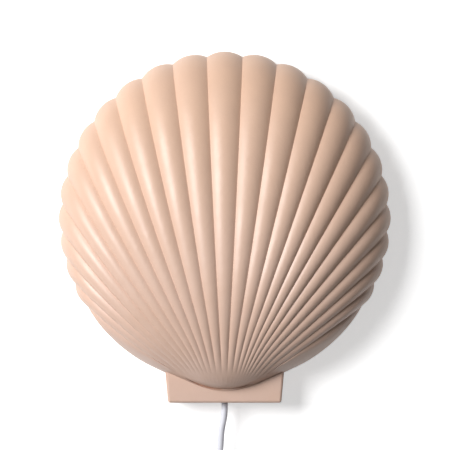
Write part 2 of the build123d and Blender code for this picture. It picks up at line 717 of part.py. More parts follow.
def tube(points, radius, name, share=0.45):
    """A cord along straight runs and the largest arcs that they allow."""
    corners = [Vector(*point) for point in points]
    radii = []
    for before, corner, after in zip(corners, corners[1:], corners[2:]):
        run = min((corner - before).length, (after - corner).length)
        turn = (corner - before).get_angle(after - corner)
        radii.append(share * run / math.tan(math.radians(turn / 2)))
    path = FilletPolyline(*corners, radius=radii)
    return swept(path, corners[0], corners[1] - corners[0], radius, name, radii)


def swept(path, start, direction, radius, name, radii):
    section = Plane(origin=start, z_dir=direction) * Circle(radius)
    solid = sweep(section, path=path)
    wanted = math.pi * radius ** 2 * path.length
    print(f"{name}: length {path.length:.0f}, volume over section x length {solid.volume / wanted:.4f}, "
          f"radii {', '.join(f'{value:.0f}' for value in radii)}")
    return solid


def coil_places(start_radius, half_turns, front_y, back_y, side):
    """Where each half turn starts and ends: in spirals, a layer's climb, out spirals."""
    turning = (half_turns + 1) // 2
    places = []
    for index in range(half_turns + 1):
        if index <= turning:
            radius = start_radius - COIL_STEP * index
        else:
            radius = start_radius - COIL_STEP * (half_turns - index)
        y = front_y if index < turning else back_y
        places.append(Vector(COIL_X + side * radius, y, COIL_Z))
        side = -side
    return places


def coil(start_radius, half_turns, first_y, second_y, side, upwards, name):
    """One unbroken tube of half turns, with a straight end at each side."""
    places = coil_places(start_radius, half_turns, first_y, second_y, side)
    end = Vector(0, 0, 2 * CORD_RADIUS)
    edges = [Line(places[0] - end * upwards, places[0])]
    samples = []
    heading = upwards
    for a, b in zip(places, places[1:]):
        middle = (a + b) / 2
        reach = (b - a).length / 2
        edges.append(ThreePointArc(a, middle + Vector(0, 0, reach * heading), b))
        for step in range(24):
            angle = math.pi * step / 24
            offset = (a - middle) * math.cos(angle) + Vector(0, 0, reach * heading) * math.sin(angle)
            samples.append(middle + offset)
        heading = -heading
    edges.append(Line(places[-1], places[-1] + end * heading))
    gap = least_gap(samples)
    path = Wire(edges)
    radii = [(b - a).length / 2 for a, b in zip(places, places[1:])]
    print(f"{name}: least gap to itself {gap:.2f}")
    return swept(path, places[0] - end * upwards, end * upwards, CORD_RADIUS, name, radii)


def least_gap(samples, apart=14):
    """Smallest distance between turns, surface to surface."""
    nearest = min((samples[i] - samples[j]).length
                  for i in range(len(samples)) for j in range(i + apart, len(samples)))
    return nearest - 2 * CORD_RADIUS


UPPER_COIL_TOP = COIL_Z + 2 * CORD_RADIUS
LOWER_COIL_FOOT = COIL_Z - 2 * CORD_RADIUS
PLUG_X = COIL_X - LOWER_COIL_RADIUS
INSIDE_ROUTE = [
    (0, CORD_Y, FOOT_BOTTOM),
    (0, CORD_Y, FOOT_BOTTOM + 18.6),
    (0, -32, FOOT_BOTTOM + 35.6),
    (0, HOLDER_Y, FOOT_BOTTOM + 54.6),
    (0, HOLDER_Y, HOLDER_FLOOR + NIPPLE_ABOVE),
]
UPPER_ROUTE = [
    (0, CORD_Y, FOOT_BOTTOM),
    (0, CORD_Y, -187),
    (-3.6, -21.5, -203),
    (-4.2, -21, -224),
    (-12, -20.2, -244),
    (COIL_X - UPPER_COIL_RADIUS, UPPER_COIL_Y, -268),
    (COIL_X - UPPER_COIL_RADIUS, UPPER_COIL_Y, UPPER_COIL_TOP),
]
TO_SWITCH_ROUTE = [
    (COIL_X + UPPER_COIL_RADIUS, UPPER_COIL_Y - LAYER_STEP, UPPER_COIL_TOP),
    (COIL_X + UPPER_COIL_RADIUS, UPPER_COIL_Y - LAYER_STEP, -261),
    (72, -22, -239.5),
    (103, -17.5, -239.5),
    (SWITCH_X, SWITCH_Y, -260.5),
    (SWITCH_X, SWITCH_Y, SWITCH_TOP),
]
FROM_SWITCH_ROUTE = [
    (SWITCH_X, SWITCH_Y, SWITCH_TOP - SWITCH_LENGTH),
    (SWITCH_X, SWITCH_Y, -385),
    (104, -13.8, -406),
    (75, -13.2, -406),
    (51.5, -12.7, -385),
    (COIL_X + LOWER_COIL_RADIUS, LOWER_COIL_Y, -342),
    (COIL_X + LOWER_COIL_RADIUS, LOWER_COIL_Y, LOWER_COIL_FOOT),
]
TO_PLUG_ROUTE = [
    (PLUG_X, LOWER_COIL_Y + LAYER_STEP, LOWER_COIL_FOOT),
    (PLUG_X, LOWER_COIL_Y + LAYER_STEP, -313),
    (PLUG_X, PLUG_Y, -325),
    (PLUG_X, PLUG_Y, PLUG_TOP),
]


def make_lead(side):
    foot = HOLDER_FLOOR + NIPPLE_ABOVE
    ledge = HOLDER_SEAT + CAP_LEDGE
    points = [(side * LEAD_SPLIT, HOLDER_Y, foot), (side * LEAD_SPLIT, HOLDER_Y, foot + 2.5),
              (side * TERMINAL_X, HOLDER_Y, ledge - 2), (side * TERMINAL_X, HOLDER_Y, ledge + CORE_HEIGHT - 4)]
    return tube(points, LEAD_RADIUS, "lead")


def make_cord_bush():
    low = FOOT_BOTTOM
    floor = FOOT_BOTTOM + FOOT_WALL
    bore = CORD_RADIUS + BUSH_FIT
    bush = upright(0, CORD_Y, low, floor, bore + BUSH_WALL)
    bush += upright(0, CORD_Y, floor, floor + BUSH_FLANGE, bore + 2 * BUSH_WALL)
    return bush - upright(0, CORD_Y, low - 1, floor + 5, bore)


def make_coil_tie():
    """A band round the lowest part of both coils."""
    thick = CORD_RADIUS + TIE_CLEARANCE
    back = LOWER_COIL_Y + LAYER_STEP + thick
    front = UPPER_COIL_Y - LAYER_STEP - thick
    outer_turn = max(UPPER_COIL_RADIUS, LOWER_COIL_RADIUS - COIL_STEP) - COIL_STEP / 2
    inner_turn = LOWER_COIL_RADIUS - COIL_STEP * ((LOWER_COIL_HALF_TURNS + 1) // 2) + COIL_STEP
    half = TIE_WIDTH / 2
    rise = inner_turn - math.sqrt(inner_turn ** 2 - (half + COIL_STEP) ** 2)
    low = COIL_Z - outer_turn - thick
    high = COIL_Z - inner_turn + rise + thick
    inside = box(COIL_X - half - 1, COIL_X + half + 1, back, front, low, high)
    outside = box(COIL_X - half, COIL_X + half, back + TIE_THICKNESS, front - TIE_THICKNESS,
                  low - TIE_THICKNESS, high + TIE_THICKNESS)
    outside = fillet(outside.edges().filter_by(Axis.X), 3)
    inside = fillet(inside.edges().filter_by(Axis.X), 2)
    return outside - inside


# ---- switch ----

SWITCH_MIDDLE = SWITCH_TOP - SWITCH_LENGTH / 2
SWITCH_FRONT = SWITCH_Y - SWITCH_DEPTH / 2
SWITCH_BACK = SWITCH_Y + SWITCH_DEPTH / 2
SWITCH_FLOOR = SWITCH_BACK - SWITCH_WALL
HEAD_SEAT = SWITCH_BACK - SWITCH_HEAD_SINK
AXLE_Y = SWITCH_FRONT + AXLE_SINK
AXLE_HALF = ROCKER_WIDTH / 2 + ROCKER_SIDE_GAP + EAR_THICKNESS


def switch_shape(inset):
    """The casing's outer or inner form, necks left off."""
    half_x = SWITCH_WIDTH / 2 - inset
    half_z = SWITCH_LENGTH / 2 - SWITCH_NECK - inset
    solid = box(SWITCH_X - half_x, SWITCH_X + half_x, SWITCH_BACK - inset, SWITCH_FRONT + inset,
                SWITCH_MIDDLE - half_z, SWITCH_MIDDLE + half_z)
    return fillet(solid.edges(), max(SWITCH_EDGE - inset, 0.5))


def switch_whole():
    solid = switch_shape(0)
    solid += upright(SWITCH_X, SWITCH_Y, SWITCH_TOP, SWITCH_TOP - SWITCH_NECK - SWITCH_WALL, NECK_RADIUS)
    solid += upright(SWITCH_X, SWITCH_Y, SWITCH_TOP - SWITCH_LENGTH,
                     SWITCH_TOP - SWITCH_LENGTH + SWITCH_NECK + SWITCH_WALL, NECK_RADIUS)
    return solid - switch_shape(SWITCH_WALL)


def half_casing(direction):
    """The part of the hollow casing behind (1) or in front of (-1) its parting plane."""
    reach = SWITCH_DEPTH * direction
    return switch_whole() & box(SWITCH_X - SWITCH_WIDTH, SWITCH_X + SWITCH_WIDTH, SWITCH_Y, SWITCH_Y + reach,
                                SWITCH_MIDDLE - SWITCH_LENGTH, SWITCH_MIDDLE + SWITCH_LENGTH)


def screw_heights():
    return SWITCH_MIDDLE - SWITCH_SCREW_Z, SWITCH_MIDDLE + SWITCH_SCREW_Z


def make_switch_base():
    base = half_casing(1)
    for z in screw_heights():
        base += across(SWITCH_X, z, SWITCH_FLOOR, SWITCH_Y, SWITCH_SCREW_RADIUS + BOSS_WALL)
        base += across(SWITCH_X, z, SWITCH_FLOOR + SWITCH_WALL / 2, HEAD_SEAT - SWITCH_WALL,
                       SWITCH_SCREW_HEAD + BOSS_WALL)
        base -= across(SWITCH_X, z, SWITCH_BACK + 1, HEAD_SEAT, SWITCH_SCREW_HEAD + SCREW_FIT)
        base -= across(SWITCH_X, z, SWITCH_BACK + 1, SWITCH_Y - 1, SWITCH_SCREW_RADIUS + SCREW_FIT)
    return base


def make_switch_cover():
    cover = half_casing(-1)
    for z in screw_heights():
        cover += across(SWITCH_X, z, SWITCH_FRONT + SWITCH_WALL / 2, SWITCH_Y,
                        SWITCH_SCREW_RADIUS + BOSS_WALL)
        cover -= across(SWITCH_X, z, SWITCH_Y + 1, SWITCH_Y - SWITCH_SCREW_BITE - 1, SWITCH_SCREW_RADIUS)
    half_x = ROCKER_WIDTH / 2 + ROCKER_SIDE_GAP
    half_z = ROCKER_LENGTH / 2 + ROCKER_END_GAP
    cover -= box(SWITCH_X - half_x, SWITCH_X + half_x, SWITCH_FRONT - 1, SWITCH_FRONT + SWITCH_WALL + 1,
                 SWITCH_MIDDLE - half_z, SWITCH_MIDDLE + half_z)
    for side in (-1, 1):
        cover += box(SWITCH_X + side * half_x, SWITCH_X + side * AXLE_HALF,
                     SWITCH_FRONT + SWITCH_WALL / 2, AXLE_Y + EAR_BEHIND_AXLE,
                     SWITCH_MIDDLE - EAR_HEIGHT / 2, SWITCH_MIDDLE + EAR_HEIGHT / 2)
    return cover - axle_bar(AXLE_RADIUS)


def axle_bar(radius):
    return sideways(AXLE_Y, SWITCH_MIDDLE, SWITCH_X - AXLE_HALF, SWITCH_X + AXLE_HALF, radius)


def make_switch_axle():
    return axle_bar(AXLE_RADIUS)


def prism_across(points, x0, x1):
    """A prism along X from an outline of (y, z) points."""
    plane = Plane(origin=(x0, 0, 0), x_dir=(0, 1, 0), z_dir=(1, 0, 0))
    return extrude(plane * make_face(Polyline(*points, close=True)), x1 - x0)


def make_switch_rocker():
    """A key with two sloping faces, round behind so that it can tip. It rests tipped to off."""
    half = ROCKER_LENGTH / 2
    front = SWITCH_FRONT - ROCKER_PROUD
    hollow = front + math.tan(math.radians(ROCKER_THROW)) * half * 0.5
    back = AXLE_Y + 2 * AXLE_RADIUS
    outline = [(front, -half), (hollow, 0), (front, half), (AXLE_Y, half - ROCKER_TAPER),
               (back, half * 0.35), (back, -half * 0.35), (AXLE_Y, -half + ROCKER_TAPER)]
    x0 = SWITCH_X - ROCKER_WIDTH / 2
    key = prism_across([(y, SWITCH_MIDDLE + z) for y, z in outline], x0, x0 + ROCKER_WIDTH)
    key = key.rotate(Axis((SWITCH_X, AXLE_Y, SWITCH_MIDDLE), (1, 0, 0)), -ROCKER_THROW)
    return key - axle_bar(AXLE_RADIUS + AXLE_FIT)


def make_switch_contacts():
    """Two brass terminals on the casing's floor."""
    half_x = CONTACT_WIDTH / 2
    low = SWITCH_MIDDLE - CONTACT_LENGTH / 2
    high = SWITCH_MIDDLE + CONTACT_LENGTH / 2

    def block(side):
        x = SWITCH_X + side * CONTACT_X
        solid = box(x - half_x, x + half_x, SWITCH_FLOOR, SWITCH_FLOOR - CONTACT_WIDTH, low, high)
        return solid - upright(x, SWITCH_FLOOR - CONTACT_WIDTH / 2, low - 1, high + 1, CONTACT_BORE)
    return both_sides(block)


def make_switch_screws():
    crown = HEAD_SEAT + SWITCH_HEAD_HEIGHT
    tip = SWITCH_Y - SWITCH_SCREW_BITE
    screws = []
    for z in screw_heights():
        head = across(SWITCH_X, z, HEAD_SEAT, crown, SWITCH_SCREW_HEAD)
        slot = box(SWITCH_X - SWITCH_SCREW_HEAD, SWITCH_X + SWITCH_SCREW_HEAD,
                   crown - SWITCH_HEAD_HEIGHT / 3, crown + 1, z - SLOT_WIDTH / 2, z + SLOT_WIDTH / 2)
        screws.append(head - slot + across(SWITCH_X, z, HEAD_SEAT, tip, SWITCH_SCREW_RADIUS))
    return Compound(screws)


# ---- plug ----

PLUG_SHOULDER_TOP = PLUG_TOP - RELIEF_LENGTH
PLUG_FACE = PLUG_SHOULDER_TOP - PLUG_LENGTH
PIN_NECK = PIN_RADIUS - SLEEVE_THICKNESS


def make_plug_relief():
    middle = (PLUG_TOP + PLUG_SHOULDER_TOP) / 2
    relief = Pos(PLUG_X, PLUG_Y, middle) * Cone(RELIEF_ROOT_RADIUS, RELIEF_TIP_RADIUS, RELIEF_LENGTH)
    for ring in range(1, RELIEF_RINGS):
        z = PLUG_TOP - RELIEF_LENGTH * ring / RELIEF_RINGS
        low = z - RING_GAP / 2
        high = z + RING_GAP / 2
        groove = upright(PLUG_X, PLUG_Y, low, high, RELIEF_ROOT_RADIUS + 1)
        relief -= groove - upright(PLUG_X, PLUG_Y, low - 1, high + 1, RING_CORE_RADIUS)
    return relief


def make_plug_body():
    half_top = PLUG_SHOULDER_WIDTH / 2
    half_low = PLUG_WIDTH / 2
    shoulder = PLUG_SHOULDER_TOP - PLUG_SHOULDER
    outline = Polyline((PLUG_X - half_top, PLUG_SHOULDER_TOP), (PLUG_X + half_top, PLUG_SHOULDER_TOP),
                       (PLUG_X + half_low, shoulder), (PLUG_X + half_low, PLUG_FACE),
                       (PLUG_X - half_low, PLUG_FACE), (PLUG_X - half_low, shoulder), close=True)
    plane = Plane(origin=(0, PLUG_Y + PLUG_THICKNESS / 2, 0), x_dir=(1, 0, 0), z_dir=(0, -1, 0))
    body = extrude(plane * make_face(outline), PLUG_THICKNESS)
    body = fillet(body.edges(), PLUG_EDGE)
    for x in pin_places():
        body -= upright(x, PLUG_Y, PLUG_FACE - 1, PLUG_FACE + PIN_ROOT, PIN_RADIUS)
    return body


def pin_places():
    return PLUG_X - PIN_SPACING / 2, PLUG_X + PIN_SPACING / 2


def pin_sleeve(x):
    ring = upright(x, PLUG_Y, PLUG_FACE, PLUG_FACE - PIN_SLEEVE, PIN_RADIUS)
    return ring - upright(x, PLUG_Y, PLUG_FACE + 1, PLUG_FACE - PIN_SLEEVE - 1, PIN_NECK)


def make_plug_pins():
    pins = []
    for x in pin_places():
        bar = upright(x, PLUG_Y, PLUG_FACE + PIN_ROOT, PLUG_FACE - PIN_LENGTH, PIN_RADIUS)
        bar = fillet(bar.edges().group_by(Axis.Z)[0], PIN_RADIUS * 0.7)
        pins.append(bar - pin_sleeve(x))
    return Compound(pins)


def make_plug_sleeves():
    return Compound([pin_sleeve(x) for x in pin_places()])


def make_cords():
    cord_inside = tube(INSIDE_ROUTE, CORD_RADIUS, "cord_inside")
    cord_upper = tube(UPPER_ROUTE, CORD_RADIUS, "cord_upper")
    coil_upper = coil(UPPER_COIL_RADIUS, UPPER_COIL_HALF_TURNS, UPPER_COIL_Y, UPPER_COIL_Y - LAYER_STEP,
                      -1, -1, "coil_upper")
    cord_to_switch = tube(TO_SWITCH_ROUTE, CORD_RADIUS, "cord_to_switch")
    cord_from_switch = tube(FROM_SWITCH_ROUTE, CORD_RADIUS, "cord_from_switch")
    coil_lower = coil(LOWER_COIL_RADIUS, LOWER_COIL_HALF_TURNS, LOWER_COIL_Y, LOWER_COIL_Y + LAYER_STEP,
                      1, 1, "coil_lower")
    cord_to_plug = tube(TO_PLUG_ROUTE, CORD_RADIUS, "cord_to_plug")
    return {
        "cord_inside": cord_inside,
        "cord_upper": cord_upper,
        "coil_upper": coil_upper,
        "cord_to_switch": cord_to_switch,
        "cord_from_switch": cord_from_switch,
        "coil_lower": coil_lower,
        "cord_to_plug": cord_to_plug,
    }


parts = {
    "wall_plate": make_wall_plate(),
    "shell_body": make_shell_body(),
    "lug_inserts": make_lug_inserts(),
    "cross_strap": make_cross_strap(),
    "strap_washers": make_strap_washers(),
    "strap_screws": make_strap_screws(),
    "rim_pads": make_rim_pads(),
    "holder_bracket": make_holder_bracket(),
    "bracket_screws": make_bracket_screws(),
    "bracket_nuts": make_bracket_nuts(),
    "holder_nipple": make_holder_nipple(),
    "nipple_nut": make_nipple_nut(),
    "cord_grip": make_cord_grip(),
    "grip_screw": make_grip_screw(),
    "holder_cap": make_holder_cap(),
    "holder_skirt": make_holder_skirt(),
    "terminal_core": make_terminal_core(),
    "terminal_screws": make_terminal_screws(),
    "screw_socket": make_screw_socket(),
    "centre_contact": make_centre_contact(),
    "lead_live": make_lead(-1),
    "lead_neutral": make_lead(1),
    "bulb_tip": make_bulb_tip(),
    "bulb_bead": make_bulb_bead(),
    "bulb_screw_cap": make_bulb_screw_cap(),
    "bulb_collar": make_bulb_collar(),
    "bulb_board": make_bulb_board(),
    "bulb_globe": make_bulb_globe(),
    "cord_bush": make_cord_bush(),
    "coil_tie": make_coil_tie(),
    "switch_base": make_switch_base(),
    "switch_cover": make_switch_cover(),
    "switch_axle": make_switch_axle(),
    "switch_rocker": make_switch_rocker(),
    "switch_contacts": make_switch_contacts(),
    "switch_screws": make_switch_screws(),
    "plug_relief": make_plug_relief(),
    "plug_body": make_plug_body(),
    "plug_pins": make_plug_pins(),
    "plug_sleeves": make_plug_sleeves(),
}
parts.update(make_cords())

os.makedirs("parts", exist_ok=True)
for node, solid in parts.items():
    export_step(solid, f"parts/{node}.step")
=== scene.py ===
import json
import math

import bpy
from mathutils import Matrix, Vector


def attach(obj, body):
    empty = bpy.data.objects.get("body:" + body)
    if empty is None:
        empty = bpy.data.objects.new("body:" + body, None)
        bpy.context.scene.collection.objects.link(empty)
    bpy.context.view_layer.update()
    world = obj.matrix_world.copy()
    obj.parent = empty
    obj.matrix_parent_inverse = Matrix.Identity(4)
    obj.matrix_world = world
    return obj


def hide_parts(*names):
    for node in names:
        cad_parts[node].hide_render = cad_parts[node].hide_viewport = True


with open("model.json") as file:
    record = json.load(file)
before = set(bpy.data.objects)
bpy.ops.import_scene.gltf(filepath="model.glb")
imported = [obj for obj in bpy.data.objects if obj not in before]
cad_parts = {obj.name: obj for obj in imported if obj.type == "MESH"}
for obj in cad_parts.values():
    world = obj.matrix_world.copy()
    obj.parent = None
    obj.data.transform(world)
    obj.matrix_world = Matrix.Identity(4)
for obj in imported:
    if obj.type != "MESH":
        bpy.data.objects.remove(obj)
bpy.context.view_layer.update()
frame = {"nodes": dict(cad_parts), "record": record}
nodes = frame["nodes"]

# ---- the photograph's frame ----
PHOTO_WIDTH = 450                      # pixels, and as many high
METRES_PER_PIXEL = 0.00095             # at the middle of the shell's depth
OUTLINE_MIDDLE = (224.7, 217.6)        # pixel of the middle of the shell's round outline
SCALE_DEPTH = 0.02                     # the scale above holds this far in front of the wall
CAMERA_DISTANCE = 1.9
SENSOR = 36.0

# ---- cord, repeated from the part's source, in metres ----
CORD_RADIUS = 0.0031
CORD_Y = -0.022
FOOT_BOTTOM = -0.1746
COIL_X = 0.012
COIL_Z = -0.296
COIL_STEP = 0.0034
LAYER_STEP = 0.0068
UPPER_COIL_RADIUS = 0.0385
UPPER_COIL_HALF_TURNS = 5
UPPER_COIL_Y = -0.0188
LOWER_COIL_RADIUS = 0.0419
LOWER_COIL_HALF_TURNS = 9
LOWER_COIL_Y = -0.012
SWITCH_X = 0.125
SWITCH_Y = -0.0145
SWITCH_TOP = -0.290
SWITCH_FOOT = -0.356
PLUG_X = COIL_X - LOWER_COIL_RADIUS
PLUG_Y = -0.0074
PLUG_TOP = -0.336
UPPER_COIL_LEFT = COIL_X - UPPER_COIL_RADIUS
UPPER_COIL_RIGHT = COIL_X + UPPER_COIL_RADIUS
UPPER_COIL_BACK_Y = UPPER_COIL_Y - LAYER_STEP
LOWER_COIL_RIGHT = COIL_X + LOWER_COIL_RADIUS
LOWER_COIL_BACK_Y = LOWER_COIL_Y + LAYER_STEP
COIL_LEAD = 2 * CORD_RADIUS

UPPER_ROUTE = [
    (0, CORD_Y, FOOT_BOTTOM),
    (0, CORD_Y, -0.187),
    (-0.0036, -0.0215, -0.203),
    (-0.0042, -0.021, -0.224),
    (-0.012, -0.0202, -0.244),
    (UPPER_COIL_LEFT, UPPER_COIL_Y, -0.268),
    (UPPER_COIL_LEFT, UPPER_COIL_Y, COIL_Z + COIL_LEAD),
]
TO_SWITCH_ROUTE = [
    (UPPER_COIL_RIGHT, UPPER_COIL_BACK_Y, COIL_Z + COIL_LEAD),
    (UPPER_COIL_RIGHT, UPPER_COIL_BACK_Y, -0.261),
    (0.072, -0.022, -0.2395),
    (0.103, -0.0175, -0.2395),
    (SWITCH_X, SWITCH_Y, -0.2605),
    (SWITCH_X, SWITCH_Y, SWITCH_TOP),
]
FROM_SWITCH_ROUTE = [
    (SWITCH_X, SWITCH_Y, SWITCH_FOOT),
    (SWITCH_X, SWITCH_Y, -0.385),
    (0.104, -0.0138, -0.406),
    (0.075, -0.0132, -0.406),
    (0.0515, -0.0127, -0.385),
    (LOWER_COIL_RIGHT, LOWER_COIL_Y, -0.342),
    (LOWER_COIL_RIGHT, LOWER_COIL_Y, COIL_Z - COIL_LEAD),
]
TO_PLUG_ROUTE = [
    (PLUG_X, LOWER_COIL_BACK_Y, COIL_Z - COIL_LEAD),
    (PLUG_X, LOWER_COIL_BACK_Y, -0.313),
    (PLUG_X, PLUG_Y, -0.325),
    (PLUG_X, PLUG_Y, PLUG_TOP),
]
COIL_POINTS_PER_HALF_TURN = 8


# ---- node helpers ----

def new_group(name, input_label, default, output_labels):
    """An empty node group with one number going in and named numbers coming out."""
    tree = bpy.data.node_groups.new(name, "ShaderNodeTree")
    socket = tree.interface.new_socket(input_label, in_out="INPUT", socket_type="NodeSocketFloat")
    socket.default_value = default
    for label in output_labels:
        tree.interface.new_socket(label, in_out="OUTPUT", socket_type="NodeSocketFloat")
    start = tree.nodes.new("NodeGroupInput")
    end = tree.nodes.new("NodeGroupOutput")
    return tree, start, end


def feed(tree, value, socket):
    """Sets a socket to a number, or links another socket to it."""
    if isinstance(value, (int, float)):
        socket.default_value = value
    else:
        tree.links.new(value, socket)


def noise(tree, scale, detail, roughness, vector):
    node = tree.nodes.new("ShaderNodeTexNoise")
    node.inputs["Detail"].default_value = detail
    node.inputs["Roughness"].default_value = roughness
    feed(tree, scale, node.inputs["Scale"])
    tree.links.new(vector, node.inputs["Vector"])
    return node.outputs["Fac"]


def place(tree):
    """The rest position of the point, in metres."""
    return tree.nodes.new("ShaderNodeTexCoord").outputs["Object"]


def band(tree, value, low, high, out_low=0.0, out_high=1.0):
    """Maps value from low..high to out_low..out_high in a smooth step, held at both ends."""
    node = tree.nodes.new("ShaderNodeMapRange")
    node.interpolation_type = "SMOOTHSTEP"
    tree.links.new(value, node.inputs["Value"])
    node.inputs["From Min"].default_value = low
    node.inputs["From Max"].default_value = high
    node.inputs["To Min"].default_value = out_low
    node.inputs["To Max"].default_value = out_high
    return node.outputs["Result"]


def calculate(tree, operation, a, b):
    node = tree.nodes.new("ShaderNodeMath")
    node.operation = operation
    feed(tree, a, node.inputs[0])
    feed(tree, b, node.inputs[1])
    return node.outputs[0]


def blend_colours(tree, share, first, second):
    """first where share is 0, second where it is 1. Each is a colour or a socket."""
    node = tree.nodes.new("ShaderNodeMix")
    node.data_type = "RGBA"
    tree.links.new(share, node.inputs["Factor"])
    for socket, value in ((node.inputs[6], first), (node.inputs[7], second)):
        if isinstance(value, tuple):
            socket.default_value = (*value, 1)
        else:
            tree.links.new(value, socket)
    return node.outputs[2]


# ---- effects that several finishes share ----

def make_grain_group():
    """Fine moulding grain: a shade for colour and roughness, and a height."""
    tree, start, end = new_group("moulding_grain", "Size", 900.0, ("Shade", "Height"))
    where = place(tree)
    fine = noise(tree, start.outputs["Size"], 4.0, 0.55, where)
    broad = noise(tree, 38.0, 2.0, 0.5, where)
    tree.links.new(calculate(tree, "MULTIPLY", fine, broad), end.inputs["Shade"])
    tree.links.new(fine, end.inputs["Height"])
    return tree


def make_edge_group():
    """How far a point is on a worn outer edge (Worn) or down in a crease (Crease). The crease mask places
    painted shade where the finishes use it.
    """
    tree, start, end = new_group("edge_and_crease", "Breakup", 120.0, ("Worn", "Crease"))
    bend = tree.nodes.new("ShaderNodeNewGeometry").outputs["Pointiness"]
    speckle = noise(tree, start.outputs["Breakup"], 3.0, 0.6, place(tree))
    outer = band(tree, bend, 0.52, 0.60)
    tree.links.new(calculate(tree, "MULTIPLY", outer, band(tree, speckle, 0.35, 0.65)), end.inputs["Worn"])
    tree.links.new(band(tree, bend, 0.49, 0.42), end.inputs["Crease"])
    return tree


def make_dust_group():
    """Dust that lies on faces that look up."""
    tree, start, end = new_group("settled_dust", "Amount", 0.3, ("Mask",))
    normal = tree.nodes.new("ShaderNodeNewGeometry").outputs["Normal"]
    split = tree.nodes.new("ShaderNodeSeparateXYZ")
    tree.links.new(normal, split.inputs[0])
    upward = band(tree, split.outputs["Z"], 0.35, 1.0)
    patches = band(tree, noise(tree, 60.0, 4.0, 0.65, place(tree)), 0.35, 0.75)
    lying = calculate(tree, "MULTIPLY", upward, patches)
    tree.links.new(calculate(tree, "MULTIPLY", lying, start.outputs["Amount"]), end.inputs["Mask"])
    return tree


GRAIN = make_grain_group()
EDGES = make_edge_group()
DUST = make_dust_group()


def use_group(tree, group, **values):
    node = tree.nodes.new("ShaderNodeGroup")
    node.node_tree = group
    for label, value in values.items():
        node.inputs[label].default_value = value
    return node


def new_material(name):
    material = bpy.data.materials.new(name)
    material.use_nodes = True
    tree = material.node_tree
    shader = next(node for node in tree.nodes if node.type == "BSDF_PRINCIPLED")
    return material, tree, shader


def add_bump(tree, shader, height, distance):
    bump = tree.nodes.new("ShaderNodeBump")
    bump.inputs["Distance"].default_value = distance
    bump.inputs["Strength"].default_value = 1.0
    tree.links.new(height, bump.inputs["Height"])
    tree.links.new(bump.outputs["Normal"], shader.inputs["Normal"])


# ---- finishes ----

PEACH_WITH_PAINTED_BOUNCE = (0.720, 0.515, 0.425)      # glaze at the shell's foot, pinker with painted pink bounce light from below
PEACH_HIGH = (0.735, 0.490, 0.355)     # glaze at its top
PEACH_CLOUD = (0.705, 0.475, 0.355)
PEACH_STREAK = (0.66, 0.44, 0.33)
# painted reddish shade down in the grooves
PEACH_CREASE_SHADE = (0.46, 0.195, 0.105)
BARE_CLAY = (0.72, 0.56, 0.44)
BOUNCE_FADE_LOW_Z = -0.15                    # the painted pink bounce at the foot fades into the plain glaze between these heights
BOUNCE_FADE_HIGH_Z = 0.13
GLAZE_EDGE_Y = -0.0078                 # the glaze thins out from here
CLAY_EDGE_Y = -0.0070                  # to bare clay at the rim's back face
CLAY_ROUGHNESS = 0.85


def glaze_finish():
    """Satin peach glaze: pinker towards the foot with painted pink bounce light, painted reddish shade in the
    sharpest creases, bare clay at the back rim.
    """
    material, tree, shader = new_material("peach_glaze")
    where = place(tree)
    crease = use_group(tree, EDGES, Breakup=90.0).outputs["Crease"]
    clouds = band(tree, noise(tree, 14.0, 3.0, 0.5, where), 0.3, 0.7)
    streaks = band(tree, noise(tree, 70.0, 4.0, 0.6, where), 0.3, 0.75)
    split = tree.nodes.new("ShaderNodeSeparateXYZ")
    tree.links.new(where, split.inputs[0])
    # pinker colour low down is painted pink bounce light from below
    height = band(tree, split.outputs["Z"], BOUNCE_FADE_LOW_Z, BOUNCE_FADE_HIGH_Z)
    body = blend_colours(tree, height, PEACH_WITH_PAINTED_BOUNCE, PEACH_HIGH)
    # the crease layer paints reddish shade into the grooves; clouds and streaks are random tone in the glaze
    layers = ((clouds, 0.5, PEACH_CLOUD), (streaks, 0.22, PEACH_STREAK), (crease, 0.75, PEACH_CREASE_SHADE))
    for mask, share, colour in layers:
        body = blend_colours(tree, calculate(tree, "MULTIPLY", mask, share), body, colour)
    bare = band(tree, split.outputs["Y"], GLAZE_EDGE_Y, CLAY_EDGE_Y)
    body = blend_colours(tree, bare, body, BARE_CLAY)
    tree.links.new(body, shader.inputs["Base Color"])
    rough = band(tree, noise(tree, 30.0, 4.0, 0.6, where), 0.25, 0.75, 0.36, 0.46)
    tree.links.new(calculate(tree, "MAXIMUM", rough, calculate(tree, "MULTIPLY", bare, CLAY_ROUGHNESS)),
                   shader.inputs["Roughness"])
    peel = noise(tree, 420.0, 3.0, 0.5, where)
    swell = noise(tree, 55.0, 2.0, 0.4, where)
    add_bump(tree, shader, calculate(tree, "ADD", calculate(tree, "MULTIPLY", peel, 0.12), swell), 0.00035)
    return material


PLASTIC_DUST = 0.15
METAL_DUST = 0.25
PLASTIC_DUST_COLOUR = (0.62, 0.58, 0.52)
METAL_DUST_COLOUR = (0.45, 0.42, 0.38)
BRUSH_LINES = 700.0                    # brush marks per metre, before they are drawn out


def shaded(colour, share):
    return tuple(channel * share for channel in colour)


def plastic_finish(name, colour, roughness, grain=900.0):
    """Moulded plastic, rubber or ceramic, with painted shade down in its creases."""
    material, tree, shader = new_material(name)
    grain_node = use_group(tree, GRAIN, Size=grain)
    crease = use_group(tree, EDGES, Breakup=200.0).outputs["Crease"]
    body = blend_colours(tree, grain_node.outputs["Shade"], colour, shaded(colour, 0.92))
    # painted shade: darker down in the creases
    body = blend_colours(tree, calculate(tree, "MULTIPLY", crease, 0.25), body, shaded(colour, 0.55))
    dusty = use_group(tree, DUST, Amount=PLASTIC_DUST).outputs["Mask"]
    body = blend_colours(tree, dusty, body, PLASTIC_DUST_COLOUR)
    tree.links.new(body, shader.inputs["Base Color"])
    tree.links.new(band(tree, grain_node.outputs["Shade"], 0.1, 0.5, roughness - 0.05, roughness + 0.08),
                   shader.inputs["Roughness"])
    add_bump(tree, shader, grain_node.outputs["Height"], 0.00003)
    return material


